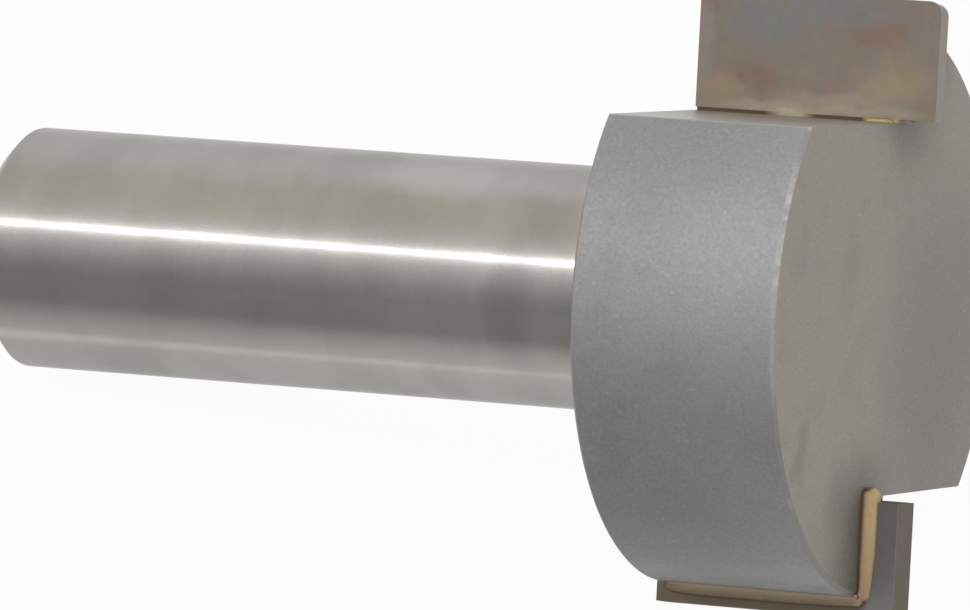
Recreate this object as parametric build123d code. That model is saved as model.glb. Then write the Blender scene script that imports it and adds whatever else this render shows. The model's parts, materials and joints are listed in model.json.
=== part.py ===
from build123d import *
import math
import os

# A two-flute surfacing router bit with a half-inch shank and brazed carbide tips.
# The steel cutter is turned from one bar, then two gullets are milled across its head.
# It is drawn with its axis on X, the shank towards -X and the head's back face at X = 0,
# and is then laid on the bench as it comes to rest. All sizes are in millimetres.

# Shank
SHANK_DIAMETER = 12.7
SHANK_LENGTH = 38.1
SHANK_END_CHAMFER = 0.6
SHANK_ROOT_RADIUS = 0.8

# Head
HEAD_DIAMETER = 29.7
HEAD_WIDTH = 11.2
BACK_RIM_CHAMFER = 0.15
FRONT_RIM_CHAMFER = 0.2

# Gullets, milled across the head: a floor that falls away slightly from the tip, and the
# wall that the tip is brazed against. The height is from the bit's axis, square to the floor.
# The long edge where the floor runs out is rounded over.
GULLET_FLOOR_HEIGHT = 9.61
GULLET_FLOOR_FALL_ANGLE = 0.7
GULLET_EDGE_RADIUS = 0.5

# How far the rounding stands proud of a true tangent, so that it cuts the head cleanly
EDGE_PROUD = 0.01

# Carbide tips, whose rake faces lie in one plane through the axis
CUTTING_DIAMETER = 31.9
TIP_THICKNESS = 1.6
TIP_BACK_OVERHANG = 0.1
TIP_FRONT_OVERHANG = 2.09
TIP_CORNER_RADIUS = 0.65
SIDE_RELIEF_ANGLE = 6.0
END_RELIEF_ANGLE = 8.0

# Braze: a layer under and behind each tip
BRAZE_GAP = 0.15

# The braze bead up the back of a tip, on the head's front face: it is drawn as a round rod
# whose middle lies RISE in front of the face and INSET inside the tip, and tapers outwards.
FRONT_BEAD_FOOT_RADIUS = 0.42
FRONT_BEAD_RIM_RADIUS = 0.36
FRONT_BEAD_RISE = 0.24
FRONT_BEAD_INSET = 0.17
FRONT_BEAD_BELOW_FLOOR = 0.14

# Its turn round the tip's foot, which ends a little way behind the rake face
FOOT_TURN_RADIUS = 0.38
FOOT_TURN_END_RADIUS = 0.24
FOOT_TURN_MARGIN = 0.5

# The lighter bead along the head's round surface, against the back of a tip
SIDE_BEAD_RADIUS = 0.42
SIDE_BEAD_OFFSET = 0.12
SIDE_BEAD_BACK_MARGIN = 0.5

# The short bead that shows at the foot of a rake face
RAKE_BEAD_RADIUS = 0.16
RAKE_BEAD_LENGTH = 1.5
RAKE_BEAD_FRONT_MARGIN = 0.25

# Room that a milling cut runs past the work
CUT_CLEARANCE = 1.0

shank_radius = SHANK_DIAMETER / 2
head_radius = HEAD_DIAMETER / 2
cutting_radius = CUTTING_DIAMETER / 2
floor_fall = math.radians(GULLET_FLOOR_FALL_ANGLE)


def floor_height(y):
    """Height over the axis of the upper gullet's floor, at a distance behind the rake face."""
    return (GULLET_FLOOR_HEIGHT + y * math.sin(floor_fall)) / math.cos(floor_fall)


# Each tip stands on the braze over the gullet floor, and leans on the braze at the wall.
gullet_wall = TIP_THICKNESS + BRAZE_GAP
tip_foot_height = floor_height(gullet_wall) + BRAZE_GAP
tip_front = HEAD_WIDTH + TIP_FRONT_OVERHANG
tip_length = TIP_BACK_OVERHANG + tip_front

# Where a gullet's wall meets the head's round surface
wall_rim_height = math.sqrt(head_radius**2 - gullet_wall**2)

# The middle of the rounding at the upper floor's far edge, which touches floor and head
edge_distance = head_radius - GULLET_EDGE_RADIUS + EDGE_PROUD
edge_drop = GULLET_FLOOR_HEIGHT - GULLET_EDGE_RADIUS
edge_middle = Vector(0, -math.sqrt(edge_distance**2 - edge_drop**2), edge_drop)
edge_middle = edge_middle.rotate(Axis.X, GULLET_FLOOR_FALL_ANGLE)


def make_turned_bar():
    """Shank and head as one revolved profile."""
    shank_end = -SHANK_LENGTH
    with BuildPart() as bar:
        with BuildSketch(Plane.XZ):
            with BuildLine():
                shank = Polyline(
                    (0, 0),
                    (shank_end, 0),
                    (shank_end, shank_radius - SHANK_END_CHAMFER),
                    (shank_end + SHANK_END_CHAMFER, shank_radius),
                    (-SHANK_ROOT_RADIUS, shank_radius),
                )
                root_top = (0, shank_radius + SHANK_ROOT_RADIUS)
                RadiusArc(shank @ 1, root_top, -SHANK_ROOT_RADIUS)
                Polyline(
                    root_top,
                    (0, head_radius - BACK_RIM_CHAMFER),
                    (BACK_RIM_CHAMFER, head_radius),
                    (HEAD_WIDTH - FRONT_RIM_CHAMFER, head_radius),
                    (HEAD_WIDTH, head_radius - FRONT_RIM_CHAMFER),
                    (HEAD_WIDTH, 0),
                    (0, 0),
                )
            make_face()
        revolve(axis=Axis.X)
    return bar.part


def make_gullet_cut():
    """What is cut away for the upper gullet: floor and wall, and its far edge's rounding."""
    reach = head_radius + CUT_CLEARANCE
    rounding_start = math.degrees(math.atan2(edge_middle.Z, edge_middle.Y))
    rounding_end = 90 + GULLET_FLOOR_FALL_ANGLE
    with BuildPart() as cut:
        with BuildSketch(Plane.YZ.offset(-CUT_CLEARANCE)):
            with BuildLine():
                rounding = CenterArc(
                    (edge_middle.Y, edge_middle.Z),
                    GULLET_EDGE_RADIUS,
                    rounding_start,
                    rounding_end - rounding_start,
                )
                Polyline(
                    rounding @ 1,
                    (gullet_wall, floor_height(gullet_wall)),
                    (gullet_wall, reach),
                    (-reach, reach),
                    (-reach, (rounding @ 0).Y),
                    rounding @ 0,
                )
            make_face()
        extrude(amount=HEAD_WIDTH + 2 * CUT_CLEARANCE)
    return cut.part


def make_tip():
    """The upper carbide tip: rake face at Y = 0, with relief behind both cutting edges."""
    side_drop = TIP_THICKNESS * math.tan(math.radians(SIDE_RELIEF_ANGLE))
    end_relief = math.radians(END_RELIEF_ANGLE)
    with BuildPart() as tip:
        with BuildSketch(Plane.YZ.offset(-TIP_BACK_OVERHANG)):
            with BuildLine():
                Polyline(
                    (0, tip_foot_height),
                    (0, cutting_radius),
                    (TIP_THICKNESS, cutting_radius - side_drop),
                    (TIP_THICKNESS, tip_foot_height),
                    close=True,
                )
            make_face()
        extrude(amount=tip_length)
        end_plane = Plane(
            origin=(tip_front, 0, 0),
            x_dir=(0, 0, 1),
            z_dir=(math.cos(end_relief), math.sin(end_relief), 0),
        )
        split(bisect_by=end_plane, keep=Keep.BOTTOM)
        corner_edge = tip.edges().sort_by(lambda edge: edge.center().X + edge.center().Z)[-1]
        fillet(corner_edge, radius=TIP_CORNER_RADIUS)
    return tip.part


def make_bead(start, end, start_radius, end_radius):
    """A round run of braze from one point to another, tapered, with domed ends."""
    run = Vector(*end) - Vector(*start)
    lean = math.degrees(math.asin((start_radius - end_radius) / run.length))
    square_to_run = Plane(origin=start, z_dir=run).x_dir
    with BuildPart() as bead:
        with BuildSketch(Plane(origin=start, x_dir=run, z_dir=square_to_run)):
            with BuildLine():
                first = CenterArc((0, 0), start_radius, 180, -90 - lean)
                last = CenterArc((run.length, 0), end_radius, 90 - lean, lean - 90)
                Line(first @ 1, last @ 0)
                Line(last @ 1, first @ 0)
            make_face()
        revolve(axis=Axis(start, run))
    return bead.part


def make_braze(body, tip):
    """The upper braze: a thin L behind and under the tip, with the beads that it squeezed out."""
    with BuildPart() as layer:
        with BuildSketch(Plane.YZ):
            with BuildLine():
                Polyline(
                    (0, floor_height(0)),
                    (gullet_wall, floor_height(gullet_wall)),
                    (gullet_wall, wall_rim_height),
                    (TIP_THICKNESS, wall_rim_height),
                    (TIP_THICKNESS, tip_foot_height),
                    (0, tip_foot_height),
                    close=True,
                )
            make_face()
        extrude(amount=HEAD_WIDTH)

    # The heavy bead on the front face runs up the back of the tip, and turns round its foot.
    front_x = HEAD_WIDTH + FRONT_BEAD_RISE
    front_y = TIP_THICKNESS - FRONT_BEAD_INSET
    foot_corner = (front_x, front_y, floor_height(front_y) - FRONT_BEAD_BELOW_FLOOR)
    front_bead = make_bead(
        foot_corner,
        (front_x, front_y, wall_rim_height - FRONT_BEAD_RIM_RADIUS),
        FRONT_BEAD_FOOT_RADIUS,
        FRONT_BEAD_RIM_RADIUS,
    )
    foot_turn = make_bead(
        foot_corner,
        (front_x, FOOT_TURN_MARGIN, floor_height(FOOT_TURN_MARGIN)),
        FOOT_TURN_RADIUS,
        FOOT_TURN_END_RADIUS,
    )

    # A lighter one lies along the head's round surface, against the back of the tip.
    side_y = TIP_THICKNESS + SIDE_BEAD_OFFSET
    side_z = wall_rim_height + SIDE_BEAD_OFFSET
    side_bead = make_bead(
        (SIDE_BEAD_BACK_MARGIN + SIDE_BEAD_RADIUS, side_y, side_z),
        (HEAD_WIDTH, side_y, side_z),
        SIDE_BEAD_RADIUS,
        SIDE_BEAD_RADIUS,
    )

    # A short one shows at the foot of the rake face, near the front of the gullet.
    rake_bead_end = HEAD_WIDTH - RAKE_BEAD_FRONT_MARGIN
    rake_bead = make_bead(
        (rake_bead_end - RAKE_BEAD_LENGTH, 0, floor_height(0)),
        (rake_bead_end, 0, floor_height(0)),
        RAKE_BEAD_RADIUS,
        RAKE_BEAD_RADIUS,
    )
    return layer.part + front_bead + foot_turn + side_bead + rake_bead - body - tip


def find_bench_plane():
    """The plane that the bit lies on: two points of the head's back edge and one of the shank."""
    tip_point = Vector(-TIP_BACK_OVERHANG, 0, -cutting_radius)
    up = Vector(0, 0, 1)
    for _ in range(20):
        down = -Vector(0, up.Y, up.Z).normalized()
        gullet_point = down * GULLET_EDGE_RADIUS - edge_middle
        gullet_point += Vector(gullet_point.length - head_radius + BACK_RIM_CHAMFER, 0, 0)
        shank_point = Vector(SHANK_END_CHAMFER - SHANK_LENGTH, 0, 0) + down * shank_radius
        up = (gullet_point - tip_point).cross(shank_point - tip_point).normalized()
    forward = (Vector(1, 0, 0) - up * up.X).normalized()
    return Plane(origin=tip_point, x_dir=forward, z_dir=up)


half_turn = Rotation(180, 0, 0)
gullet_cut = make_gullet_cut()
body = make_turned_bar() - gullet_cut - half_turn * gullet_cut
tip = make_tip()
braze = make_braze(body, tip)

parts = {
    "cutter_body": body,
    "carbide_tip_a": tip,
    "carbide_tip_b": half_turn * tip,
    "braze_joint_a": braze,
    "braze_joint_b": half_turn * braze,
}

# Lay the bit on the bench, then bring the middle of its footprint to the origin.
to_bench = find_bench_plane().location.inverse()
box = Compound([shape.moved(to_bench) for shape in parts.values()]).bounding_box()
to_origin = Pos(-box.center().X, -box.center().Y, -box.min.Z)

os.makedirs("parts", exist_ok=True)
for name, shape in parts.items():
    export_step(shape.moved(to_origin * to_bench), f"parts/{name}.step")
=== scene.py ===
"""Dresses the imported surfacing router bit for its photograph.

The bit is a steel cutter with a ground shank and a bead-blasted head, two ground carbide
tips, and the braze that holds them. It lies on its side on a white table.
"""

import json
import logging
import math
from collections.abc import Mapping
from dataclasses import dataclass
from enum import Enum
from functools import partial

import bmesh
import bpy
from mathutils import Matrix, Vector

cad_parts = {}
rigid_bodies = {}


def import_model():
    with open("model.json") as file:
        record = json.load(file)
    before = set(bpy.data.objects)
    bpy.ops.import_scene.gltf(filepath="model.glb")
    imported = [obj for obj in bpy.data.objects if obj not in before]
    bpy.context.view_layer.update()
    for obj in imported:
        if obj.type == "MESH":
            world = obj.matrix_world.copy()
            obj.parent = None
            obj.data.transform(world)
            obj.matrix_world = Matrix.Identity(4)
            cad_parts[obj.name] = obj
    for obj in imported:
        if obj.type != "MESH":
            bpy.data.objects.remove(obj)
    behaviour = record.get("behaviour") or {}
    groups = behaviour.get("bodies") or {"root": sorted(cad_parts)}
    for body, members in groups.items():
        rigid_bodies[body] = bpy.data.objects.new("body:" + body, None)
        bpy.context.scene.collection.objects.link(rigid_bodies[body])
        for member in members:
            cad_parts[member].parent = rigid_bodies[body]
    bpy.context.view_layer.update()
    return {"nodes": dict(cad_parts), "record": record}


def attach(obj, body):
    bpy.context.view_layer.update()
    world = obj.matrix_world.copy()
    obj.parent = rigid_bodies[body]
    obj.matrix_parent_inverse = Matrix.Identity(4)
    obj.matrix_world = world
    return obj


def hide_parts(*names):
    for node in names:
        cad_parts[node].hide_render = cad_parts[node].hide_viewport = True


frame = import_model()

log = logging.getLogger("surfacing_bit")

MM = 0.001

# Settings that several nodes share
SMOOTH = {"interpolation_type": "SMOOTHSTEP"}
COLOUR = {"data_type": "RGBA"}

# Nearly all of a noise lies between these values.
MOST_NOISE = (0.3, 0.7)

# A stain is whole within the first share of its half sizes, and gone at the second.
STAIN_FADE = (0.3, 1.25)

# A worked metal reflects a little less at grazing angles than the shader's ideal one.
GRAZING_TINT = (0.8, 0.8, 0.8, 1.0)

# Where the rings of a bead's dome lie, in degrees from its base
DOME_ANGLES = (80, 60, 40, 20)


class Kind(Enum):
    """The nodes that the trees are made of, by the names that Blender gives them."""

    COORDINATES = "ShaderNodeTexCoord"
    MAPPING = "ShaderNodeMapping"
    AXES = "ShaderNodeSeparateXYZ"
    VECTOR = "ShaderNodeVectorMath"
    MATH = "ShaderNodeMath"
    NOISE = "ShaderNodeTexNoise"
    RAMP = "ShaderNodeMapRange"
    BLEND = "ShaderNodeMix"
    BUMP = "ShaderNodeBump"
    METAL = "ShaderNodeBsdfPrincipled"
    MATT = "ShaderNodeBsdfDiffuse"
    GLOW = "ShaderNodeEmission"
    SURROUND = "ShaderNodeBackground"
    BLEND_SHADERS = "ShaderNodeMixShader"
    LIGHT_PATH = "ShaderNodeLightPath"
    MATERIAL_OUTPUT = "ShaderNodeOutputMaterial"
    WORLD_OUTPUT = "ShaderNodeOutputWorld"
    GROUP_INPUT = "NodeGroupInput"
    GROUP_OUTPUT = "NodeGroupOutput"
    POSITION = "GeometryNodeInputPosition"
    NORMAL = "GeometryNodeInputNormal"
    RADIUS = "GeometryNodeInputRadius"
    RESAMPLE = "GeometryNodeResampleCurve"
    CIRCLE = "GeometryNodeCurvePrimitiveCircle"
    SWEEP = "GeometryNodeCurveToMesh"
    FILL_VOLUME = "GeometryNodeMeshToVolume"
    SKIN_VOLUME = "GeometryNodeVolumeToMesh"
    BLUR = "GeometryNodeBlurAttribute"
    MOVE = "GeometryNodeSetPosition"
    SHADE_SMOOTH = "GeometryNodeSetShadeSmooth"
    REALIZE = "GeometryNodeRealizeInstances"
    SET_MATERIAL = "GeometryNodeSetMaterial"


def linear(hex_colour: str) -> tuple[float, float, float, float]:
    """Turns an sRGB colour into the linear colour that a shader takes.

    Args:
        hex_colour: six hexadecimal digits, two for each of red, green and blue.

    Returns:
        Linear red, green and blue, and an alpha of 1.
    """
    channels = [int(hex_colour[i : i + 2], 16) / 255 for i in (0, 2, 4)]
    red, green, blue = [c / 12.92 if c <= 0.04045 else ((c + 0.055) / 1.055) ** 2.4 for c in channels]
    return red, green, blue, 1.0


def add_node(
    tree: bpy.types.NodeTree,
    kind: Kind,
    *values: object,
    named: Mapping[str, object] | None = None,
    **settings: object,
) -> bpy.types.Node:
    """Adds a node with its settings, and fills or links its inputs.

    Args:
        tree: the node tree that the node goes into.
        kind: the node's kind.
        values: what goes into the inputs that the settings leave in use, in their order. A
            node or a socket is linked, and anything else is set.
        named: the same, by the inputs' names.
        settings: the node's own properties.

    Returns:
        The new node.
    """
    node = tree.nodes.new(kind.value)
    for name, value in settings.items():
        setattr(node, name, value)
    in_use = [socket for socket in node.inputs if socket.enabled]
    filled = list(zip(in_use, values))
    filled += [(node.inputs[name], value) for name, value in (named or {}).items()]
    for socket, value in filled:
        if isinstance(value, bpy.types.Node):
            value = next(output for output in value.outputs if output.enabled)
        if isinstance(value, bpy.types.NodeSocket):
            tree.links.new(value, socket)
        else:
            socket.default_value = value
    return node


@dataclass(frozen=True)
class BitSizes:
    """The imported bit's sizes, in mm along its own axes, and its gullets' slope in degrees."""

    shank_root_radius: float = 0.8
    head_width: float = 11.2
    head_radius: float = 14.85
    back_rim_chamfer: float = 0.15
    front_rim_chamfer: float = 0.2
    floor_height: float = 9.61
    floor_fall: float = 0.7
    tip_thickness: float = 1.6
    braze_gap: float = 0.15

    @property
    def gullet_wall(self) -> float:
        """How far behind the rake face a gullet's wall stands."""
        return self.tip_thickness + self.braze_gap

    @property
    def rim_height(self) -> float:
        """The height at which a gullet's wall meets the head's round surface."""
        return math.sqrt(self.head_radius**2 - self.gullet_wall**2)

    @property
    def tip_foot(self) -> float:
        """The height at which a tip stands, on the braze over the gullet's floor."""
        return self.floor(self.gullet_wall) + self.braze_gap

    def floor(self, behind: float) -> float:
        """The height of a gullet's floor at a distance behind the rake face."""
        return self.floor_height + behind * math.tan(math.radians(self.floor_fall))


class BitFrame:
    """The bit's own axes, in mm, as it lies in the row's frame.

    X runs along the bit's axis from the head's back face towards the cutting end. Z runs
    up the upper tip's rake face, and Y from that face into the tip.
    """

    def __init__(self, record: dict, upper_tip: bpy.types.Object, sizes: BitSizes) -> None:
        """Reads the axes from the shank's mount and the upper tip's largest face.

        Args:
            record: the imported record.
            upper_tip: the upper carbide tip's CAD node.
            sizes: the bit's sizes.
        """
        self.sizes = sizes
        shank = next(mount for mount in record["mounts"] if mount["name"] == "shank")
        self.forward = -Vector(shank["axis"]).normalized()
        half_length = shank["dims"]["length_mm"] / 2 + sizes.shank_root_radius
        self.origin = Vector(shank["pos_m"]) + self.forward * half_length * MM
        flat = max(upper_tip.data.polygons, key=lambda face: face.area).normal
        inwards = flat if flat.y > 0 else -flat
        self.up = self.forward.cross(inwards).normalized()
        self.inwards = self.up.cross(self.forward)

    def to_row(self, turned: bool) -> Matrix:
        """The matrix from the bit's axes, in mm, to the row's frame, in metres.

        Args:
            turned: whether the bit is taken half a turn round its axis, for the lower tip.

        Returns:
            A 4 by 4 matrix.
        """
        side = -1 if turned else 1
        axes = Matrix((self.forward, self.inwards * side, self.up * side)).transposed() * MM
        return Matrix.Translation(self.origin) @ axes.to_4x4()


@dataclass(frozen=True)
class Patch:
    """One soft-edged stain, by its middle and half sizes in mm along the bit's axes.

    A half size of 0 leaves its axis out. The strength is the colour's share in the middle.
    """

    middle: tuple[float, float, float]
    half_sizes: tuple[float, float, float]
    colour: str
    strength: float


class Surface:
    """A metal surface in the making: a material with the bit's own coordinates, in mm."""

    def __init__(self, name: str, bit: BitFrame, turned: bool = False) -> None:
        """Makes the material and the nodes that turn Object coordinates into the bit's own.

        Args:
            name: the material's name.
            bit: the bit's axes.
            turned: whether they are taken half a turn round, for the lower tip.
        """
        self.material = bpy.data.materials.new(name)
        self.material.use_nodes = True
        self.material.node_tree.nodes.clear()
        self.add = partial(add_node, self.material.node_tree)
        self.sizes = bit.sizes
        place = bit.to_row(turned).inverted()
        turn = (place.to_3x3() * MM).to_euler()
        where = self.add(Kind.COORDINATES).outputs["Object"]
        self.place = self.add(Kind.MAPPING, where, place.translation, turn, (1 / MM, 1 / MM, 1 / MM))
        self.along, self.side, self.up = self.add(Kind.AXES, self.place).outputs
        across = self.add(Kind.VECTOR, self.place, (0, 1, 1), operation="MULTIPLY")
        self.radius = self.add(Kind.VECTOR, across, operation="LENGTH")

    def inside(self, middle: tuple, half_sizes: tuple, strength: object, place: object) -> bpy.types.Node:
        """Masks a soft-edged ellipsoid.

        Args:
            middle: its middle.
            half_sizes: its half sizes along the three axes; 0 leaves an axis out.
            strength: the mask's value in the middle.
            place: the coordinates to read, perhaps pulled about by a noise.

        Returns:
            A mask that falls from strength to 0.
        """
        scale = [1 / size if size else 0 for size in half_sizes]
        shift = [-part * factor for part, factor in zip(middle, scale)]
        scaled = self.add(Kind.VECTOR, place, scale, shift, operation="MULTIPLY_ADD")
        distance = self.add(Kind.VECTOR, scaled, operation="LENGTH")
        return self.add(Kind.RAMP, distance, *STAIN_FADE, strength, 0, **SMOOTH)

    def pulled(self, size_mm: float, reach_mm: float) -> bpy.types.Node:
        """Pulls the coordinates about, so that a mask's edge wanders.

        Args:
            size_mm: the size of one wander.
            reach_mm: how far it pulls.

        Returns:
            Coordinates in mm.
        """
        noise = self.add(Kind.NOISE, self.place, 1 / size_mm, 2.0, 0.5)
        reach = (reach_mm * 2,) * 3
        shift = (-reach_mm,) * 3
        pull = self.add(Kind.VECTOR, noise.outputs["Color"], reach, shift, operation="MULTIPLY_ADD")
        return self.add(Kind.VECTOR, self.place, pull, operation="ADD")

    def stained(self, colour: object, stains: tuple[Patch, ...], place: object, share: object) -> object:
        """Lays soft-edged stains over a colour.

        Args:
            colour: the colour under them.
            stains: the stains, the lowest first.
            place: the coordinates to read, perhaps pulled about by a noise.
            share: how much of them shows, as a number or a mask.

        Returns:
            The stained colour.
        """
        for stain in stains:
            strength = self.add(Kind.MATH, share, stain.strength, operation="MULTIPLY")
            mask = self.inside(stain.middle, stain.half_sizes, strength, place)
            colour = self.add(Kind.BLEND, mask, colour, linear(stain.colour), **COLOUR)
        return colour

    def finish(self, colour: object, roughness: object, height: object, depth_mm: float) -> None:
        """Ends the material with a metal, a little duller at grazing angles than an ideal one.

        Args:
            colour: the metal's reflection colour.
            roughness: its roughness.
            height: its relief, where 1 stands depth_mm over 0.
            depth_mm: the relief's depth.
        """
        relief = {"Height": height, "Distance": depth_mm * MM, "Strength": 1.0}
        look = {
            "Base Color": colour,
            "Roughness": roughness,
            "Normal": self.add(Kind.BUMP, named=relief),
            "Metallic": 1.0,
            "Specular Tint": GRAZING_TINT,
        }
        self.add(Kind.MATERIAL_OUTPUT, self.add(Kind.METAL, named=look))


@dataclass(frozen=True)
class GroundAndBlastedSteel:
    """Tool steel: the shank is ground between centres, and the head is bead-blasted.

    Grinding leaves a bright surface with fine lines round it, which shows clear reflections.
    Blasting leaves a matt grey full of tiny dents, a few of which catch the light.
    """

    ground: str = "b5b2ae"
    blasted: str = "aeaeaf"
    blasted_face: str = "b1ada6"
    cloud: str = "9f9c98"
    floor: str = "cac8c4"
    # Worn rims, with a painted highlight on the front one, and painted shade lower on it
    worn_and_lit_rim: str = "dcdad5"
    shaded_rim: str = "a09e9b"
    # Smoke, with painted shade, on the face behind each tip and on the floor at its foot
    smoke_and_shade: str = "7a756f"
    facet_glint: str = "e4e4e2"
    ground_roughness: float = 0.1
    blasted_roughness: float = 0.6
    blasted_spread: float = 0.06
    floor_roughness: float = 0.36

    # Sizes of the patterns, in mm. The grinding lines that show and the dents are drawn coarser
    # than real ones, which would be lost at this scale.
    grinding_line: float = 0.05
    fine_line: float = 0.0025
    handling_band: float = 3.2
    cloud_size: float = 2.6
    dent: float = 0.09
    grain: float = 0.2
    facet: float = 0.18
    wear_size: float = 0.7
    wander_size: float = 3.0
    shank_wander: float = 0.9
    head_wander: float = 1.6
    relief_depth: float = 0.012

    # The root's fillet is ground up to this radius, in mm.
    shank_blast_limit: float = 7.15

    # Smoke and painted shade behind a gullet's wall: how far they reach to both sides, how high
    # they start and are whole, and how strong they are there and at the floor's foot.
    smoke_and_shade_behind: float = 6.5
    smoke_and_shade_before: float = 4.5
    smoke_and_shade_heights: tuple[float, float] = (5.2, 10.4)
    face_smoke_and_shade: float = 0.6
    foot_smoke_and_shade_from: float = -9.0
    foot_smoke_and_shade: float = 0.55

    # The heights between which the front rim's wear and painted highlight fade in and out, and
    # between which its painted shade fades in
    wear_and_highlight_in: tuple[float, float] = (-1.0, 3.0)
    wear_and_highlight_out: tuple[float, float] = (9.0, 5.5)
    rim_shade_in: tuple[float, float] = (-2.0, -6.0)
    rim_edge: float = 0.04
    back_rim_wear: float = 0.25

    # How near the gullet's floor its milled look fades in, in mm
    floor_fade: tuple[float, float] = (0.45, 0.1)

    ground_stains_and_reflection: tuple[Patch, ...] = (
        Patch((0, -5.23, 3.6), (0, 2.0, 1.65), "aba89a", 0.85),
        # Painted reflection: a paler streak along the upper side, towards the head
        Patch((-12.5, -3.4, 5.4), (6.0, 1.9, 1.7), "c4c2be", 0.6),
        Patch((-9.3, -6.1, -1.6), (7.5, 1.8, 2.6), "c6c4c1", 0.65),
        Patch((-7.4, -6.2, -0.8), (1.5, 2.4, 3.6), "93918d", 0.42),
        Patch((-5.6, -5.2, 3.7), (2.2, 1.8, 1.9), "93918d", 0.5),
    )
    face_stains: tuple[Patch, ...] = (
        Patch((11.2, 7.0, -3.0), (0, 8.5, 11.0), "a09d98", 0.85),
        Patch((11.2, -5.3, 2.2), (0, 1.3, 3.2), "a6a39b", 0.6),
        Patch((11.2, -10.3, -7.2), (0, 1.1, 1.7), "9d998f", 0.65),
    )
    round_stains_and_sheen: tuple[Patch, ...] = (
        # Painted sheen: the round surface lighter towards the front rim
        Patch((12.0, -14.8, -0.5), (11.0, 9.0, 8.0), "c2c2c3", 0.38),
        # Darker towards the head's back, above and below
        Patch((3.5, -11.8, 9.2), (8.0, 5.0, 6.0), "a2a2a3", 0.7),
        Patch((3.0, -9.5, -11.8), (9.0, 5.0, 4.5), "9f9fa0", 0.85),
        Patch((0.0, -14.5, 3.0), (0.4, 0.8, 1.1), "bda995", 0.5),
    )

    def ground_shank(self, skin: Surface) -> tuple[object, object, object]:
        """Patterns the shank.

        Args:
            skin: the surface in the making.

        Returns:
            Its colour, roughness and relief.
        """
        add = skin.add

        # Grinding lines run round the shank, so the noise is fine along it and long across.
        # The coarse ones show as a faint tone and relief. The fine ones are lost to the eye, and
        # only widen the reflections.
        long_way = add(Kind.VECTOR, skin.place, (1.0, 0.06, 0.06), operation="MULTIPLY")
        lines = add(Kind.NOISE, long_way, 1 / self.grinding_line, 3.0, 0.7)
        fine_lines = add(Kind.NOISE, long_way, 1 / self.fine_line, 0.0)

        # Handling left weak bands of stain, an olive cast along the side that faces up, a paler wipe,
        # and two soft dark marks near the head. A paler streak along the upper side is a painted
        # reflection.
        banded = add(Kind.VECTOR, skin.place, (1.0, 0.5, 0.5), operation="MULTIPLY")
        handling = add(Kind.NOISE, banded, 1 / self.handling_band, 3.0, 0.5)
        bands = add(Kind.RAMP, handling, 0.4, 0.7, 1.02, 0.91, **SMOOTH)
        wandering = skin.pulled(self.wander_size, self.shank_wander)
        colour = skin.stained(linear(self.ground), self.ground_stains_and_reflection, wandering, 1.0)

        tone = add(Kind.RAMP, lines, *MOST_NOISE, 0.96, 1.04)
        tone = add(Kind.MATH, tone, bands, operation="MULTIPLY")
        colour = add(Kind.BLEND, 1.0, colour, tone, blend_type="MULTIPLY", **COLOUR)
        duller = add(Kind.RAMP, handling, 0.3, 0.8, 0.28, 0.36)
        roughness = add(Kind.RAMP, fine_lines, 0.35, 0.65, self.ground_roughness, duller)
        relief = add(Kind.RAMP, lines, 0.0, 1.0, 0.0, 0.05)
        return colour, roughness, relief

    def blasted_head(self, skin: Surface) -> tuple[object, object, object]:
        """Patterns the head.

        Args:
            skin: the surface in the making.

        Returns:
            Its colour, roughness and relief.
        """
        add, sizes = skin.add, skin.sizes
        front = sizes.head_width
        near_face, at_face = front - 0.05, front - 0.02
        on_face = add(Kind.RAMP, skin.along, near_face, at_face)
        colour = add(Kind.BLEND, on_face, linear(self.blasted), linear(self.blasted_face), **COLOUR)
        clouds = add(Kind.NOISE, skin.place, 1 / self.cloud_size, 3.0, 0.55)
        cloudy = add(Kind.RAMP, clouds, 0.45, 0.8, 0.0, 0.45, **SMOOTH)
        colour = add(Kind.BLEND, cloudy, colour, linear(self.cloud), **COLOUR)
        wandering = skin.pulled(self.wander_size, self.head_wander)
        off_face = add(Kind.RAMP, on_face, 0.0, 1.0, 1.0, 0.0)
        colour = skin.stained(colour, self.face_stains, wandering, on_face)
        colour = skin.stained(colour, self.round_stains_and_sheen, skin.place, off_face)

        # Brazing smoked the front face behind each tip, and a painted shadow of the tip darkens it
        # there too. Seen from its own tip, each half is alike.
        facing = add(Kind.MATH, skin.up, operation="SIGN")
        own_side = add(Kind.MATH, skin.side, facing, operation="MULTIPLY")
        own_height = add(Kind.MATH, skin.up, operation="ABSOLUTE")
        wall = sizes.gullet_wall
        behind, before = wall + self.smoke_and_shade_behind, wall - self.smoke_and_shade_before
        beside = add(Kind.RAMP, own_side, behind, wall, 0.0, self.face_smoke_and_shade, **SMOOTH)
        beside = add(Kind.RAMP, own_side, before, wall, 0.0, beside, **SMOOTH)
        beside = add(Kind.RAMP, own_height, *self.smoke_and_shade_heights, 0.0, beside, **SMOOTH)
        smoke_and_shadow = add(Kind.RAMP, on_face, 0.0, 1.0, 0.0, beside)
        colour = add(Kind.BLEND, smoke_and_shadow, colour, linear(self.smoke_and_shade), **COLOUR)

        # Blasting dents the surface all over. Pale specks are painted glints, where a facet
        # catches the light.
        dents = add(Kind.NOISE, skin.place, 1 / self.dent, 4.0, 0.65)
        grain = add(Kind.NOISE, skin.place, 1 / self.grain, 2.0, 0.6)
        tone = add(Kind.RAMP, grain, *MOST_NOISE, 0.93, 1.07)
        colour = add(Kind.BLEND, 1.0, colour, tone, blend_type="MULTIPLY", **COLOUR)
        facets = add(Kind.NOISE, skin.place, 1 / self.facet, 1.0, 0.5)
        painted_glints = add(Kind.RAMP, facets, 0.68, 0.8, 0.0, 0.35, **SMOOTH)
        colour = add(Kind.BLEND, painted_glints, colour, linear(self.facet_glint), **COLOUR)
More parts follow.
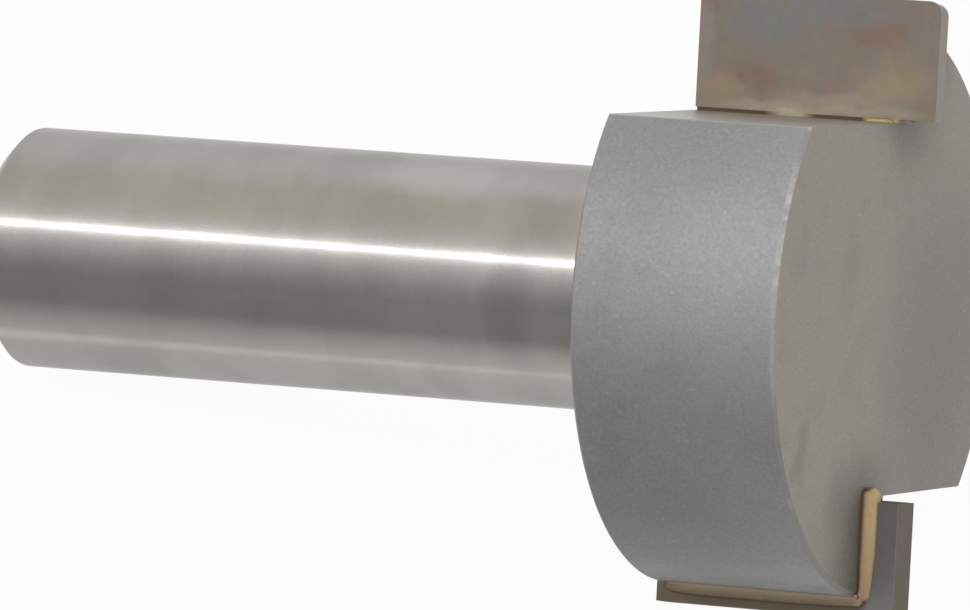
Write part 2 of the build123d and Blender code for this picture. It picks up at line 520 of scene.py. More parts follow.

        # The rims' chamfers are worn bright in places. On the front one this is also a painted
        # highlight, most of all at middle height, and further down it is darkened by painted shade.
        front_sum = front + sizes.head_radius - sizes.front_rim_chamfer
        to_front = add(Kind.MATH, skin.along, skin.radius, operation="ADD")
        on_front_rim = add(Kind.RAMP, to_front, front_sum - self.rim_edge, front_sum)
        back_gap = sizes.head_radius - sizes.back_rim_chamfer
        to_back = add(Kind.MATH, skin.radius, skin.along, operation="SUBTRACT")
        wear_and_highlight = add(Kind.RAMP, skin.up, *self.wear_and_highlight_in, 0.0, on_front_rim, **SMOOTH)
        wear_and_highlight = add(Kind.RAMP, skin.up, *self.wear_and_highlight_out, 0.0, wear_and_highlight, **SMOOTH)
        near_back = back_gap - self.rim_edge
        on_rim = add(Kind.RAMP, to_back, near_back, back_gap, wear_and_highlight, self.back_rim_wear)
        rim_shade = add(Kind.RAMP, skin.up, *self.rim_shade_in, 0.0, on_front_rim, **SMOOTH)
        colour = add(Kind.BLEND, rim_shade, colour, linear(self.shaded_rim), **COLOUR)
        wear = add(Kind.NOISE, skin.place, 1 / self.wear_size, 3.0, 0.6)
        worn_and_lit = add(Kind.RAMP, wear, 0.35, 0.65, 0.15, 0.95)
        worn_and_lit = add(Kind.MATH, on_rim, worn_and_lit, operation="MULTIPLY")
        colour = add(Kind.BLEND, worn_and_lit, colour, linear(self.worn_and_lit_rim), **COLOUR)

        # The gullets' floors are milled, and the blast only grazed them, so they are brighter,
        # apart from smoke and painted shade towards the tip's foot.
        over_floor = add(Kind.MATH, own_height, sizes.floor_height, operation="SUBTRACT")
        off_floor = add(Kind.MATH, over_floor, operation="ABSOLUTE")
        on_floor = add(Kind.RAMP, off_floor, *self.floor_fade, **SMOOTH)
        rim, inside_rim = sizes.head_radius, sizes.head_radius - 0.1
        on_floor = add(Kind.RAMP, skin.radius, rim, inside_rim, 0, on_floor)
        on_floor = add(Kind.RAMP, skin.along, at_face, near_face, 0.0, on_floor)
        near_foot = add(Kind.RAMP, own_side, self.foot_smoke_and_shade_from, 0.0, 0.0, self.foot_smoke_and_shade)
        floor = add(Kind.BLEND, near_foot, linear(self.floor), linear(self.smoke_and_shade), **COLOUR)
        colour = add(Kind.BLEND, on_floor, colour, floor, **COLOUR)

        rough = self.blasted_roughness + self.blasted_spread
        smooth = self.blasted_roughness - self.blasted_spread
        roughness = add(Kind.RAMP, dents, *MOST_NOISE, smooth, rough)
        roughness = add(Kind.RAMP, on_floor, 0.0, 1.0, roughness, self.floor_roughness)
        return colour, roughness, dents

    def make(self, bit: BitFrame) -> bpy.types.Material:
        """Builds the material.

        Args:
            bit: the bit's axes, which the patterns follow.

        Returns:
            The material.
        """
        skin = Surface("ground_and_blasted_steel", bit)
        add = skin.add
        behind = add(Kind.RAMP, skin.along, 0.02, 0.0)
        limit = self.shank_blast_limit
        on_shank = add(Kind.RAMP, skin.radius, limit, limit - 0.1, 0.0, behind)
        ground, ground_roughness, lines = self.ground_shank(skin)
        blasted, blasted_roughness, dents = self.blasted_head(skin)
        skin.finish(
            add(Kind.BLEND, on_shank, blasted, ground, **COLOUR),
            add(Kind.RAMP, on_shank, 0.0, 1.0, blasted_roughness, ground_roughness),
            add(Kind.RAMP, on_shank, 0.0, 1.0, dents, lines),
            self.relief_depth,
        )
        return skin.material


@dataclass(frozen=True)
class HeatTintedCarbide:
    """Cemented tungsten carbide, diamond-ground, with the heat tint that brazing left on it.

    It is a brownish grey metal with faint grinding lines. Blue-grey, red-brown and straw
    patches follow how hot each part became, and the unground back is a duller plain grey.
    """

    rake: str = "8f8277"
    back: str = "93918f"
    back_stain: str = "776b5c"
    end: str = "a69e95"
    roughness: float = 0.36
    roughness_spread: float = 0.1
    back_roughness: float = 0.55

    # Sizes of the patterns, in mm, with the grinding lines coarser than real ones
    grinding_line: float = 0.06
    mottle_size: float = 0.45
    hue_size: float = 0.9
    drift_size: float = 2.4
    wander_size: float = 1.8
    wander: float = 0.7
    relief_depth: float = 0.0015

    # The noise of hues, and its share off the rake face
    hue_swing: float = 0.36
    hue_base: float = 0.94
    hue_off_rake: float = 0.3

    tints: tuple[Patch, ...] = (
        Patch((3.6, 0, 14.5), (3.2, 0, 1.5), "868583", 0.9),
        Patch((8.0, 0, 15.3), (3.6, 0, 1.0), "868583", 0.9),
        Patch((0.0, 0, 13.4), (0.8, 0, 3.2), "a0978d", 0.45),
        Patch((6.6, 0, 10.0), (7.4, 0, 0.5), "ab9c8b", 0.85),
        Patch((3.0, 0, 11.4), (2.0, 0, 0.9), "8c7568", 0.75),
        Patch((10.1, 0, 14.0), (1.6, 0, 0.8), "90796a", 0.9),
        Patch((1.3, 0, 10.9), (2.0, 0, 0.8), "9f8e7a", 0.9),
        Patch((11.4, 0, 12.2), (1.9, 0, 1.6), "9a8b75", 0.7),
        Patch((10.2, 0, 11.2), (2.2, 0, 1.1), "a1907c", 0.7),
        Patch((7.7, 0, 10.6), (3.2, 0, 0.4), "a29485", 0.85),
        Patch((5.3, 0, 9.85), (1.2, 0, 0.17), "b9ad96", 0.85),
    )

    def make(self, bit: BitFrame, turned: bool) -> bpy.types.Material:
        """Builds the material for one tip.

        Args:
            bit: the bit's axes.
            turned: whether it is for the lower tip.

        Returns:
            The material.
        """
        skin = Surface("heat_tinted_carbide_" + ("lower" if turned else "upper"), bit, turned)
        add = skin.add
        drift = add(Kind.NOISE, skin.place, 1 / self.drift_size, 3.0, 0.6)
        bluer = add(Kind.RAMP, drift, 0.35, 0.75, 0.0, 0.35, **SMOOTH)
        blue_grey = linear(self.tints[0].colour)
        colour = add(Kind.BLEND, bluer, linear(self.rake), blue_grey, **COLOUR)
        wandering = skin.pulled(self.wander_size, self.wander)
        colour = skin.stained(colour, self.tints, wandering, 1.0)

        # Off the rake face there is no tint: pale ground ends, and a grey back that is stained
        # brown where it stands out of the head's round surface.
        back = skin.sizes.tip_thickness
        rim = skin.sizes.rim_height
        front = skin.sizes.head_width
        off_rake = add(Kind.RAMP, skin.side, 0.02, 0.06)
        colour = add(Kind.BLEND, off_rake, colour, linear(self.end), **COLOUR)
        at_back = add(Kind.RAMP, skin.side, back - 0.06, back - 0.02)
        over_rim = add(Kind.RAMP, skin.along, front + 0.5, front)
        stained = add(Kind.RAMP, skin.up, rim - 0.1, rim + 0.2, 0.0, over_rim)
        back_colour = add(Kind.BLEND, stained, linear(self.back), linear(self.back_stain), **COLOUR)
        colour = add(Kind.BLEND, at_back, colour, back_colour, **COLOUR)

        long_way = add(Kind.VECTOR, skin.place, (0.04, 1.0, 1.0), operation="MULTIPLY")
        lines = add(Kind.NOISE, long_way, 1 / self.grinding_line, 3.0, 0.6)
        mottle = add(Kind.NOISE, skin.place, 1 / self.mottle_size, 4.0, 0.6)
        tone = add(Kind.RAMP, mottle, *MOST_NOISE, 0.96, 1.04)
        tone = add(Kind.RAMP, lines, *MOST_NOISE, tone, 1.02)
        colour = add(Kind.BLEND, 1.0, colour, tone, blend_type="MULTIPLY", **COLOUR)
        hue = add(Kind.NOISE, skin.place, 1 / self.hue_size, 4.0, 0.65).outputs["Color"]
        swing, base = (self.hue_swing,) * 3, (self.hue_base,) * 3
        cast = add(Kind.VECTOR, hue, swing, base, operation="MULTIPLY_ADD")
        cast_here = add(Kind.RAMP, off_rake, 0.0, 1.0, 1.0, self.hue_off_rake)
        colour = add(Kind.BLEND, cast_here, colour, cast, blend_type="MULTIPLY", **COLOUR)
        rough = self.roughness + self.roughness_spread
        roughness = add(Kind.RAMP, drift, *MOST_NOISE, self.roughness, rough)
        roughness = add(Kind.RAMP, at_back, 0.0, 1.0, roughness, self.back_roughness)
        skin.finish(colour, roughness, lines, self.relief_depth)
        return skin.material


@dataclass(frozen=True)
class BrazeAlloy:
    """Brass-coloured brazing alloy, as it froze: smooth and golden on the crest of a bead.

    Oxide and flux leave it reddish brown towards the steel, dull along the head's round
    surface, and dark where it thins out.
    """

    golden: str = "c3ac80"
    reddish: str = "a68d76"
    # Painted shade on the outer side of the bead along the head's round surface
    dull: str = "a89a86"
    shaded_outer: str = "766550"
    dark: str = "7a6450"
    # Dark at a side bead's start, and painted shadow in the gap under the rake face
    foot: str = "6a5c50"
    flux: str = "c2b69e"
    roughness: float = 0.38
    roughness_spread: float = 0.1
    dull_roughness: float = 0.55
    oxide_size: float = 0.8
    fine_size: float = 0.12
    relief_depth: float = 0.003

    # How far off the steel a bead turns golden, and the share of that lost towards the rim
    golden_off_steel: tuple[float, float] = (0.15, 0.5)
    crest_tarnish: float = 0.75

    # The side bead's start, and how much darker it is there
    start_fade: tuple[float, float] = (2.0, 0.2)
    start_dark: float = 0.4

    thin_edge: float = 0.07
    thin_dark: float = 0.25

    # Under the rake face: the middle and half length of the pale flux, and the golden run
    flux_middle: float = 5.3
    flux_half_length: float = 1.3
    rake_gold_from: float = 9.5

    def make(self, bit: BitFrame, turned: bool) -> bpy.types.Material:
        """Builds the material for one joint.

        Args:
            bit: the bit's axes.
            turned: whether it is for the lower joint.

        Returns:
            The material.
        """
        skin = Surface("braze_alloy_" + ("lower" if turned else "upper"), bit, turned)
        add, sizes = skin.add, skin.sizes
        oxide = add(Kind.NOISE, skin.place, 1 / self.oxide_size, 3.0, 0.6)
        fine = add(Kind.NOISE, skin.place, 1 / self.fine_size, 2.0)

        # How far the skin of a bead stands off the steel, and off the carbide
        off_face = add(Kind.MATH, skin.along, sizes.head_width, operation="SUBTRACT")
        off_round = add(Kind.MATH, skin.radius, sizes.head_radius, operation="SUBTRACT")
        off_floor = add(Kind.MATH, skin.up, sizes.floor_height, operation="SUBTRACT")
        off_wall = add(Kind.MATH, sizes.gullet_wall, skin.side, operation="SUBTRACT")
        in_gullet = add(Kind.MATH, off_floor, off_wall, operation="MINIMUM")
        off_head = add(Kind.MATH, off_face, off_round, operation="MAXIMUM")
        off_steel = add(Kind.MATH, off_head, in_gullet, operation="MAXIMUM")
        off_back = add(Kind.MATH, skin.side, sizes.tip_thickness, operation="SUBTRACT")
        off_foot = add(Kind.MATH, sizes.tip_foot, skin.up, operation="SUBTRACT")
        off_rake = add(Kind.MATH, skin.side, -1.0, operation="MULTIPLY")
        off_ends = add(Kind.MATH, off_foot, off_rake, operation="MAXIMUM")
        off_carbide = add(Kind.MATH, off_back, off_ends, operation="MAXIMUM")
        thickness = add(Kind.MATH, off_steel, off_carbide, operation="MINIMUM")

        # The crest is golden by the foot, and tarnishes towards the rim.
        golden = add(Kind.RAMP, off_steel, *self.golden_off_steel, **SMOOTH)
        bright_to, rim = sizes.floor_height + 1.0, sizes.rim_height
        tarnish = add(Kind.RAMP, skin.up, bright_to, rim, 0.0, self.crest_tarnish)
        crest = add(Kind.BLEND, tarnish, linear(self.golden), linear(self.reddish), **COLOUR)
        colour = add(Kind.BLEND, golden, linear(self.reddish), crest, **COLOUR)

        # The bead along the head's round surface is dull, darker on its outer side, a painted shade
        # where the lower joint faces the table, and darker at its start.
        before_face = add(Kind.RAMP, off_face, 0.1, -0.3, **SMOOTH)
        lower = add(Kind.RAMP, skin.up, rim, rim + 0.6)
        along_side = add(Kind.BLEND, lower, linear(self.dull), linear(self.shaded_outer), **COLOUR)
        starting = add(Kind.RAMP, skin.along, *self.start_fade, 0.0, self.start_dark, **SMOOTH)
        along_side = add(Kind.BLEND, starting, along_side, linear(self.foot), **COLOUR)
        colour = add(Kind.BLEND, before_face, colour, along_side, **COLOUR)
        stained = add(Kind.RAMP, oxide, 0.5, 0.8, 0.0, 0.5, **SMOOTH)
        colour = add(Kind.BLEND, stained, colour, linear(self.reddish), **COLOUR)
        thin = add(Kind.RAMP, thickness, 0.0, self.thin_edge, self.thin_dark, 0.0, **SMOOTH)
        colour = add(Kind.BLEND, thin, colour, linear(self.dark), **COLOUR)

        # Under the rake face only a dark line shows, a painted shadow of the recessed gap, with a
        # stretch of pale flux in its middle and one golden run near the front.
        at_rake = add(Kind.RAMP, skin.side, 0.5, 0.2)
        middle, half_size = (self.flux_middle, 0, 0), (self.flux_half_length, 0, 0)
        clear = skin.inside(middle, half_size, 1.0, skin.pulled(1.2, 0.5))
        line = add(Kind.BLEND, clear, linear(self.foot), linear(self.flux), **COLOUR)
        run = add(Kind.RAMP, skin.along, self.rake_gold_from - 0.3, self.rake_gold_from)
        line = add(Kind.BLEND, run, line, linear(self.golden), **COLOUR)
        colour = add(Kind.BLEND, at_rake, colour, line, **COLOUR)

        rough = self.roughness + self.roughness_spread
        shiny = add(Kind.RAMP, fine, *MOST_NOISE, self.roughness, rough)
        roughness = add(Kind.RAMP, before_face, 0.0, 1.0, shiny, self.dull_roughness)
        skin.finish(colour, roughness, fine, self.relief_depth)
        return skin.material


class Tip(Enum):
    """The two cutting tips, by the letter that ends their nodes' names."""

    UPPER = "a"
    LOWER = "b"

    @property
    def turned(self) -> bool:
        """Whether the tip is half a turn round the bit's axis."""
        return self is Tip.LOWER


def dress(node: bpy.types.Object, material: bpy.types.Material) -> None:
    """Gives a node one material in all of its slots."""
    for slot in node.material_slots:
        slot.material = material


@dataclass
class Cutter:
    """The turned steel body with its shank and head."""

    node: bpy.types.Object
    bit: BitFrame

    def build(self) -> None:
        """Dresses the body in ground and blasted steel."""
        dress(self.node, GroundAndBlastedSteel().make(self.bit))
        log.info("cutter body: ground shank and blasted head")


@dataclass
class CarbideTip:
    """One carbide cutting tip. The lower one's end is given a darker colour."""

    tip: Tip
    node: bpy.types.Object
    bit: BitFrame
    darker_end: str = "7c746a"

    def build(self) -> None:
        """Dresses the tip in heat-tinted carbide."""
        finish = HeatTintedCarbide(end=self.darker_end) if self.tip.turned else HeatTintedCarbide()
        dress(self.node, finish.make(self.bit, self.tip.turned))
        log.info("tip %s: heat-tinted carbide", self.tip.value)


@dataclass(frozen=True)
class Bead:
    """One run of braze, from the middle of its first dome to the middle of its last, in mm."""

    start: tuple[float, float, float]
    end: tuple[float, float, float]
    radii: tuple[float, ...]

    def points(self) -> list[tuple]:
        """Spaces the bead's points evenly, and domes both ends.

        Returns:
            Points with their radii, as (x, y, z, radius).
        """
        first, last = Vector(self.start), Vector(self.end)
        ahead = (last - first).normalized()
        steps = len(self.radii) - 1
        points = [(*first.lerp(last, i / steps), radius) for i, radius in enumerate(self.radii)]
        dome = [math.radians(angle) for angle in DOME_ANGLES]
        start, end = self.radii[0], self.radii[-1]
        before = [(*(first - ahead * start * math.sin(a)), start * math.cos(a)) for a in dome]
        after = [(*(last + ahead * end * math.sin(a)), end * math.cos(a)) for a in reversed(dome)]
        return before + points + after

    def flank(self, aside: tuple[float, float, float], share: float) -> "Bead":
        """Makes a thinner bead beside this one, which spreads its foot over the steel.

        Args:
            aside: how far aside it runs, in mm.
            share: its radii as a share of this bead's.

        Returns:
            The thinner bead.
        """
        start, end = [tuple(Vector(point) + Vector(aside)) for point in (self.start, self.end)]
        return Bead(start, end, tuple(radius * share for radius in self.radii))


@dataclass
class BrazeJoint:
    """The braze at one tip: a thin L behind and under it, and the beads that it squeezed out.

    Sizes are in mm along the bit's axes. Turning the upper joint half a turn round the bit's
    axis gives the lower one, but no two joints freeze alike: the lower front bead turns round
    the tip's foot, and the upper one stops over it.
    """

    tip: Tip
    node: bpy.types.Object
    bit: BitFrame
    front_radii: tuple[float, ...] = (0.51, 0.54, 0.55, 0.55, 0.54, 0.52, 0.48, 0.42, 0.35)
    side_radii: tuple[float, ...] = (0.38, 0.48, 0.5, 0.47, 0.48, 0.49, 0.46, 0.43, 0.38)
    foot_turn_radii: tuple[float, ...] = (0.42, 0.4, 0.36, 0.3)
    rake_radii: tuple[float, ...] = (0.17, 0.24, 0.28, 0.25, 0.27, 0.28, 0.2)

    # The front bead's middle: before the head's face, inside the tip's back, and short of the
    # rim. On the lower joint it starts below the gullet's floor, and on the upper one over it.
    rise: float = 0.32
    inset: float = 0.17
    rim_margin: float = 0.1
    below_floor: float = 0.14
    over_foot: float = 0.5
    foot_turn_end: float = 0.5

    # The side bead's middle: off the tip's back, over the rim, and where it starts
    side_offset: float = 0.12
    side_lift: float = 0.04
    side_start: float = 0.8
    rake_run: tuple[float, float] = (9.5, 10.9)

    # A flank is shifted by this much, and has this share of its bead's radii.
    front_flank: tuple[float, float, float] = (-0.2, 0.36, 0)
    front_flank_share: float = 0.6
    side_flank: tuple[float, float, float] = (0, 0.42, -0.24)
    side_flank_share: float = 0.55

    # How finely the beads are fused, and how they ripple
    voxel: float = 0.045
    ripple: float = 0.07
    ripple_length: float = 1.6
    upper_seed: float = 3.0
    lower_seed: float = 7.0

    def beads(self) -> list[Bead]:
        """Lays out the joint's beads, as they are on the upper tip.

        Returns:
            The front bead and the side bead with their flanks, the short bead at the foot of
            the rake face and, on the lower joint, the turn round the tip's foot.
        """
        sizes = self.bit.sizes
        front_x = sizes.head_width + self.rise
        front_y = sizes.tip_thickness - self.inset
        below = self.below_floor if self.tip.turned else -self.over_foot
        foot = (front_x, front_y, sizes.floor(front_y) - below)
        side_y = sizes.tip_thickness + self.side_offset
        side_z = sizes.rim_height + self.side_offset + self.side_lift
        top = (front_x, front_y, sizes.rim_height - self.rim_margin)
        front = Bead(foot, top, self.front_radii)
        side_ends = [(x, side_y, side_z) for x in (self.side_start, sizes.head_width)]
        side = Bead(*side_ends, self.side_radii)
        rake = Bead(*[(x, 0, sizes.floor(0)) for x in self.rake_run], self.rake_radii)
        beads = [front, front.flank(self.front_flank, self.front_flank_share)]
        beads += [side, side.flank(self.side_flank, self.side_flank_share), rake]
        if self.tip.turned:
            turn_end = (front_x, self.foot_turn_end, sizes.floor(self.foot_turn_end))
            beads.append(Bead(foot, turn_end, self.foot_turn_radii))
        return beads

    def bead_paths(self) -> bpy.types.Object:
        """Draws the beads' middles as the splines of one curve, for the bead tree to follow.

        Returns:
            The curve's object, in the bit's own axes and mm.
        """
        curve = bpy.data.curves.new("braze_paths", "CURVE")
        curve.dimensions = "3D"
        for bead in self.beads():
            points = bead.points()
            spline = curve.splines.new("POLY")
            spline.points.add(len(points) - 1)
            for point, (x, y, z, radius) in zip(spline.points, points):
                point.co = (x, y, z, 1)
                point.radius = radius
        paths = bpy.data.objects.new("braze_paths", curve)
        bpy.context.scene.collection.objects.link(paths)
        return paths

    def bead_tree(self) -> bpy.types.NodeTree:
        """Builds the Geometry Nodes tree that turns paths into beads of frozen braze.

        Each path becomes a rod. The rods are fused through a volume, which rounds the corners
        where they meet, and their skin is then made to ripple.

        Returns:
            The tree.
        """
        tree = bpy.data.node_groups.new("braze_beads", "GeometryNodeTree")
        face = tree.interface
        face.new_socket("Paths", in_out="INPUT", socket_type="NodeSocketGeometry")
        for name in ("Ripple", "Ripple Length", "Voxel", "Seed"):
            face.new_socket(name, in_out="INPUT", socket_type="NodeSocketFloat")
        face.new_socket("Material", in_out="INPUT", socket_type="NodeSocketMaterial")
        face.new_socket("Beads", in_out="OUTPUT", socket_type="NodeSocketGeometry")
        add = partial(add_node, tree)
        given = add(Kind.GROUP_INPUT).outputs

        fine = {"Curve": given["Paths"], "Length": 0.08}
        ring = {"Resolution": 20, "Radius": 1.0}
        sweep = {
            "Curve": add(Kind.RESAMPLE, named=fine, mode="LENGTH"),
            "Profile Curve": add(Kind.CIRCLE, named=ring),
            "Scale": add(Kind.RADIUS),
            "Fill Caps": True,
        }
        solid = {
            "Mesh": add(Kind.SWEEP, named=sweep),
            "Voxel Size": given["Voxel"],
            "Interior Band Width": 0.3,
        }
        volume = add(Kind.FILL_VOLUME, named=solid, resolution_mode="VOXEL_SIZE")
        skin = add(Kind.SKIN_VOLUME, named={"Volume": volume, "Threshold": 0.1})
        place = add(Kind.POSITION)
        smoothed = add(Kind.BLUR, named={"Value": place, "Iterations": 12}, data_type="FLOAT_VECTOR")
        fused = add(Kind.MOVE, named={"Geometry": skin, "Position": smoothed})

        fineness = add(Kind.MATH, 1.0, given["Ripple Length"], operation="DIVIDE")
        wave = add(Kind.NOISE, place, given["Seed"], fineness, 1.0, noise_dimensions="4D")
        centred = add(Kind.MATH, wave, 0.5, operation="SUBTRACT")
        swing = add(Kind.MATH, centred, given["Ripple"], operation="MULTIPLY")
        push = add(Kind.VECTOR, add(Kind.NORMAL), swing, operation="SCALE")
        rippled = add(Kind.MOVE, named={"Geometry": fused, "Offset": push})
        real = add(Kind.REALIZE, named={"Geometry": add(Kind.SHADE_SMOOTH, rippled)})
        dressed = add(Kind.SET_MATERIAL, named={"Geometry": real, "Material": given["Material"]})
        add(Kind.GROUP_OUTPUT, dressed)
        return tree

    def make_beads(self, material: bpy.types.Material) -> bpy.types.Mesh:
        """Runs the bead tree and keeps its result as a plain mesh.

        Args:
            material: the braze's material.

        Returns:
            The beads, in the bit's own axes and mm.
        """
        paths = self.bead_paths()
        tree = self.bead_tree()
        modifier = paths.modifiers.new("beads", "NODES")
        modifier.node_group = tree
        given = {
            "Ripple": self.ripple,
            "Ripple Length": self.ripple_length,
            "Voxel": self.voxel,
            "Seed": self.lower_seed if self.tip.turned else self.upper_seed,
            "Material": material,
        }
        for item in tree.interface.items_tree:
            if item.in_out == "INPUT" and item.name in given:
                modifier[item.identifier] = given[item.name]
        evaluated = paths.evaluated_get(bpy.context.evaluated_depsgraph_get())
        mesh = bpy.data.meshes.new_from_object(evaluated)
        paths.modifiers.remove(modifier)
        bpy.data.objects.remove(paths)
        return mesh

    def make_layer(self) -> bpy.types.Mesh:
        """Makes the thin L of braze that fills the gap behind and under the tip.

        Returns:
            The layer, in the bit's own axes and mm.
        """
        sizes = self.bit.sizes
        outline = [
            (0, sizes.floor(0)),
            (sizes.gullet_wall, sizes.floor(sizes.gullet_wall)),
            (sizes.gullet_wall, sizes.rim_height),
            (sizes.tip_thickness, sizes.rim_height),
            (sizes.tip_thickness, sizes.tip_foot),
            (0, sizes.tip_foot),
        ]
        count = len(outline)
        points = [(x, y, z) for x in (0, sizes.head_width) for y, z in outline]
        sides = [(i, i + count, (i + 1) % count + count, (i + 1) % count) for i in range(count)]
        ends = [(0, 1, 4, 5), (1, 2, 3, 4)]
        far_ends = [tuple(i + count for i in reversed(end)) for end in ends]
        mesh = bpy.data.meshes.new("layer")
        mesh.from_pydata(points, [], sides + ends + far_ends)
        return mesh

    def build(self) -> None:
        """Puts the layer and the beads in the place of the CAD node."""
        material = BrazeAlloy().make(self.bit, self.tip.turned)
        shape = bmesh.new()
        shape.from_mesh(self.make_layer())
        bmesh.ops.recalc_face_normals(shape, faces=shape.faces[:])
        shape.from_mesh(self.make_beads(material))
        mesh = bpy.data.meshes.new("braze_" + self.tip.value)
        shape.to_mesh(mesh)
        shape.free()
        mesh.transform(self.bit.to_row(self.tip.turned))
        mesh.materials.clear()
        mesh.materials.append(material)
        piece = bpy.data.objects.new("braze_" + self.tip.value, mesh)
        bpy.context.scene.collection.objects.link(piece)
        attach(piece, "root")
        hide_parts(self.node.name)
        log.info("braze %s: %d faces", self.tip.value, len(mesh.polygons))


@dataclass(frozen=True)
class Studio:
    """A white table under soft light, with the camera where the photograph was taken.

    Lengths are in metres, but for the camera's aim and distance, which are in mm.
    """

    table_size: float = 6.0
    table_colour: str = "e8e7e5"

    # How much of the table's look is glow, to the camera and to a reflection
    table_white_share: float = 0.95
    table_glow_share: float = 0.6

    # How strong the reflections' glow is beside the bit, in front of it and under the head, and
    # between which depths and lengths it changes
    table_glow: float = 1.0
    table_glow_in_front: float = 0.06
    table_glow_under_head: float = 0.75
    table_slant: float = 0.3
    table_front_near: float = -0.0075
    table_front_far: float = -0.034
    table_head_fade: tuple[float, float] = (0.004, 0.012)

    strip_middle: float = -0.0112
    strip_slant: float = 0.1
    strip_half_width: float = 0.0014
    strip_glow: float = 0.5

    # The world's light, and where and how much it darkens towards the operator
    surround_colour: str = "ffffff"
    surround: float = 0.82
    dark_spot: float = 0.14
    dark_range: tuple[float, float] = (0.74, 1.12)
    dark_towards: tuple[float, float, float] = (-0.4, -0.917, 0.0)

    key_towards: tuple[float, float, float] = (-0.55, -0.528, 0.646)
    key_distance: float = 0.6
    key_size: tuple[float, float] = (0.4, 0.03)
    key_power: float = 0.34

    camera_aim_mm: tuple[float, float, float] = (1.915, -4.295, 12.939)
    camera_distance_mm: float = 577.93
    camera_azimuth: float = 21.762
    camera_elevation: float = 34.489
    camera_roll: float = 1.5245
    camera_lens: float = 414.66

    def make_table(self) -> None:
        """Adds the table: pale, and white to the camera, with the bit's shadow still on it.

        Metal sees it glow beside the bit and darken further in front, with one brighter
        strip where the lamp's light falls, which draws the faint lower line on the shank.
        """
        half = self.table_size / 2
        mesh = bpy.data.meshes.new("table")
        corners = [(-half, -half, 0), (half, -half, 0), (half, half, 0), (-half, half, 0)]
        mesh.from_pydata(corners, [], [(0, 1, 2, 3)])
        table = bpy.data.objects.new("table", mesh)
        bpy.context.scene.collection.objects.link(table)
        material = bpy.data.materials.new("white_laminate")
        material.use_nodes = True
        material.node_tree.nodes.clear()
        table.data.materials.append(material)
        add = partial(add_node, material.node_tree)
        path = add(Kind.LIGHT_PATH).outputs
        camera, glossy = path["Is Camera Ray"], path["Is Glossy Ray"]
        across, depth, _ = add(Kind.AXES, add(Kind.COORDINATES).outputs["Object"]).outputs

        near, far = self.table_front_near, self.table_front_far
        slanted = add(Kind.MATH, across, self.table_slant, depth, operation="MULTIPLY_ADD")
        glow = add(Kind.RAMP, slanted, far, near, self.table_glow_in_front, self.table_glow, **SMOOTH)
        slanted = add(Kind.MATH, across, self.strip_slant, depth, operation="MULTIPLY_ADD")
        from_strip = add(Kind.MATH, slanted, self.strip_middle, operation="SUBTRACT")
        off_strip = add(Kind.MATH, from_strip, operation="ABSOLUTE")
        strip = add(Kind.RAMP, off_strip, 0.0, self.strip_half_width, self.strip_glow, 0.0, **SMOOTH)
        strength = add(Kind.MATH, glow, strip, operation="ADD")
        fade, under_head = self.table_head_fade, self.table_glow_under_head
        shaded = add(Kind.RAMP, across, *fade, 1.0, under_head, **SMOOTH)
        strength = add(Kind.MATH, strength, shaded, operation="MULTIPLY")
        strength = add(Kind.RAMP, camera, 0.0, 1.0, strength, 1.0)
        white = add(Kind.GLOW, named={"Strength": strength})
        share = add(Kind.MATH, glossy, self.table_glow_share, operation="MULTIPLY")
        share = add(Kind.RAMP, camera, 0.0, 1.0, share, self.table_white_share)
        pale = add(Kind.MATT, linear(self.table_colour))
        add(Kind.MATERIAL_OUTPUT, add(Kind.BLEND_SHADERS, share, pale, white))

    def make_surround(self) -> None:
        """Fills the world with soft light, dark where the operator stood, and white to the camera."""
        world = bpy.data.worlds.new("studio")
        world.use_nodes = True
        world.node_tree.nodes.clear()
        bpy.context.scene.world = world
        add = partial(add_node, world.node_tree)
        way = add(Kind.COORDINATES).outputs["Generated"]
        facing = add(Kind.VECTOR, way, self.dark_towards, operation="DOT_PRODUCT")
        level = add(Kind.RAMP, facing, *self.dark_range, self.surround, self.dark_spot, **SMOOTH)
        camera = add(Kind.LIGHT_PATH).outputs["Is Camera Ray"]
        strength = add(Kind.RAMP, camera, 0.0, 1.0, level, 1.0)
        add(Kind.WORLD_OUTPUT, add(Kind.SURROUND, linear(self.surround_colour), strength))

    def make_key(self) -> None:
        """Adds a long soft lamp, laid along the shank, that draws the bright line on it."""
        lamp = bpy.data.lights.new("key", "AREA")
        lamp.shape = "RECTANGLE"
        lamp.size, lamp.size_y = self.key_size
        lamp.energy = self.key_power
        key = bpy.data.objects.new("key", lamp)
        towards = Vector(self.key_towards).normalized()
        key.location = towards * self.key_distance
        across = towards.cross(Vector((1, 0, 0))).normalized()
        along = across.cross(towards)
        key.rotation_euler = Matrix((along, across, towards)).transposed().to_euler()
        key.visible_camera = False
        bpy.context.scene.collection.objects.link(key)

    def make_camera(self) -> None:
        """Sets the camera at the photograph's angle, and gives it the photograph's frame."""
        azimuth, elevation = math.radians(self.camera_azimuth), math.radians(self.camera_elevation)
        level = math.cos(elevation)
        back = Vector((math.sin(azimuth) * level, -math.cos(azimuth) * level, math.sin(elevation)))
        camera = bpy.data.objects.new("camera", bpy.data.cameras.new("camera"))
        camera.data.lens = self.camera_lens
        camera.data.sensor_width = 36
        camera.data.clip_start, camera.data.clip_end = 0.05, 20
        roll = Matrix.Rotation(math.radians(self.camera_roll), 3, "Z").to_quaternion()
        camera.rotation_mode = "QUATERNION"
        camera.rotation_quaternion = back.to_track_quat("Z", "Y") @ roll
        camera.location = (Vector(self.camera_aim_mm) + back * self.camera_distance_mm) * MM
        bpy.context.scene.collection.objects.link(camera)
        bpy.context.scene.camera = camera

    def build(self) -> None:
        """Builds the table, the light and the camera."""
        self.make_table()
        self.make_surround()
        self.make_key()
        self.make_camera()
        bpy.context.scene.view_settings.view_transform = "Standard"
        log.info("studio: table, soft surround, key lamp and camera")


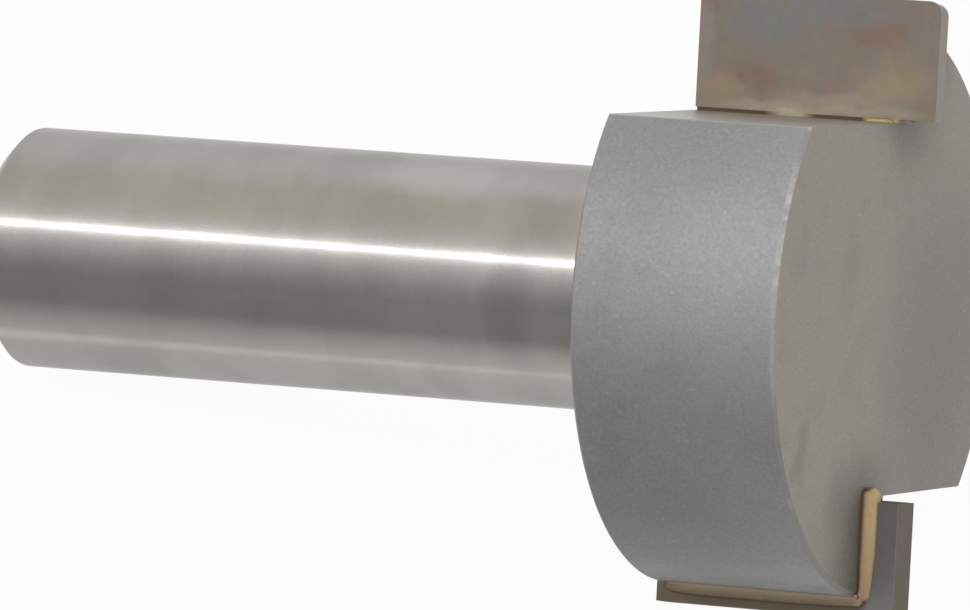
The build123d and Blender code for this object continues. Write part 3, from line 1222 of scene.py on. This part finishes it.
def main() -> None:
    """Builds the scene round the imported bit, piece by piece."""
    logging.basicConfig(level=logging.INFO, format="%(name)s: %(message)s")
    nodes = frame["nodes"]
    bit = BitFrame(frame["record"], nodes["carbide_tip_a"], BitSizes())
    Cutter(nodes["cutter_body"], bit).build()
    for tip in Tip:
        CarbideTip(tip, nodes["carbide_tip_" + tip.value], bit).build()
        BrazeJoint(tip, nodes["braze_joint_" + tip.value], bit).build()
    Studio().build()


if __name__ == "__main__":
    main()
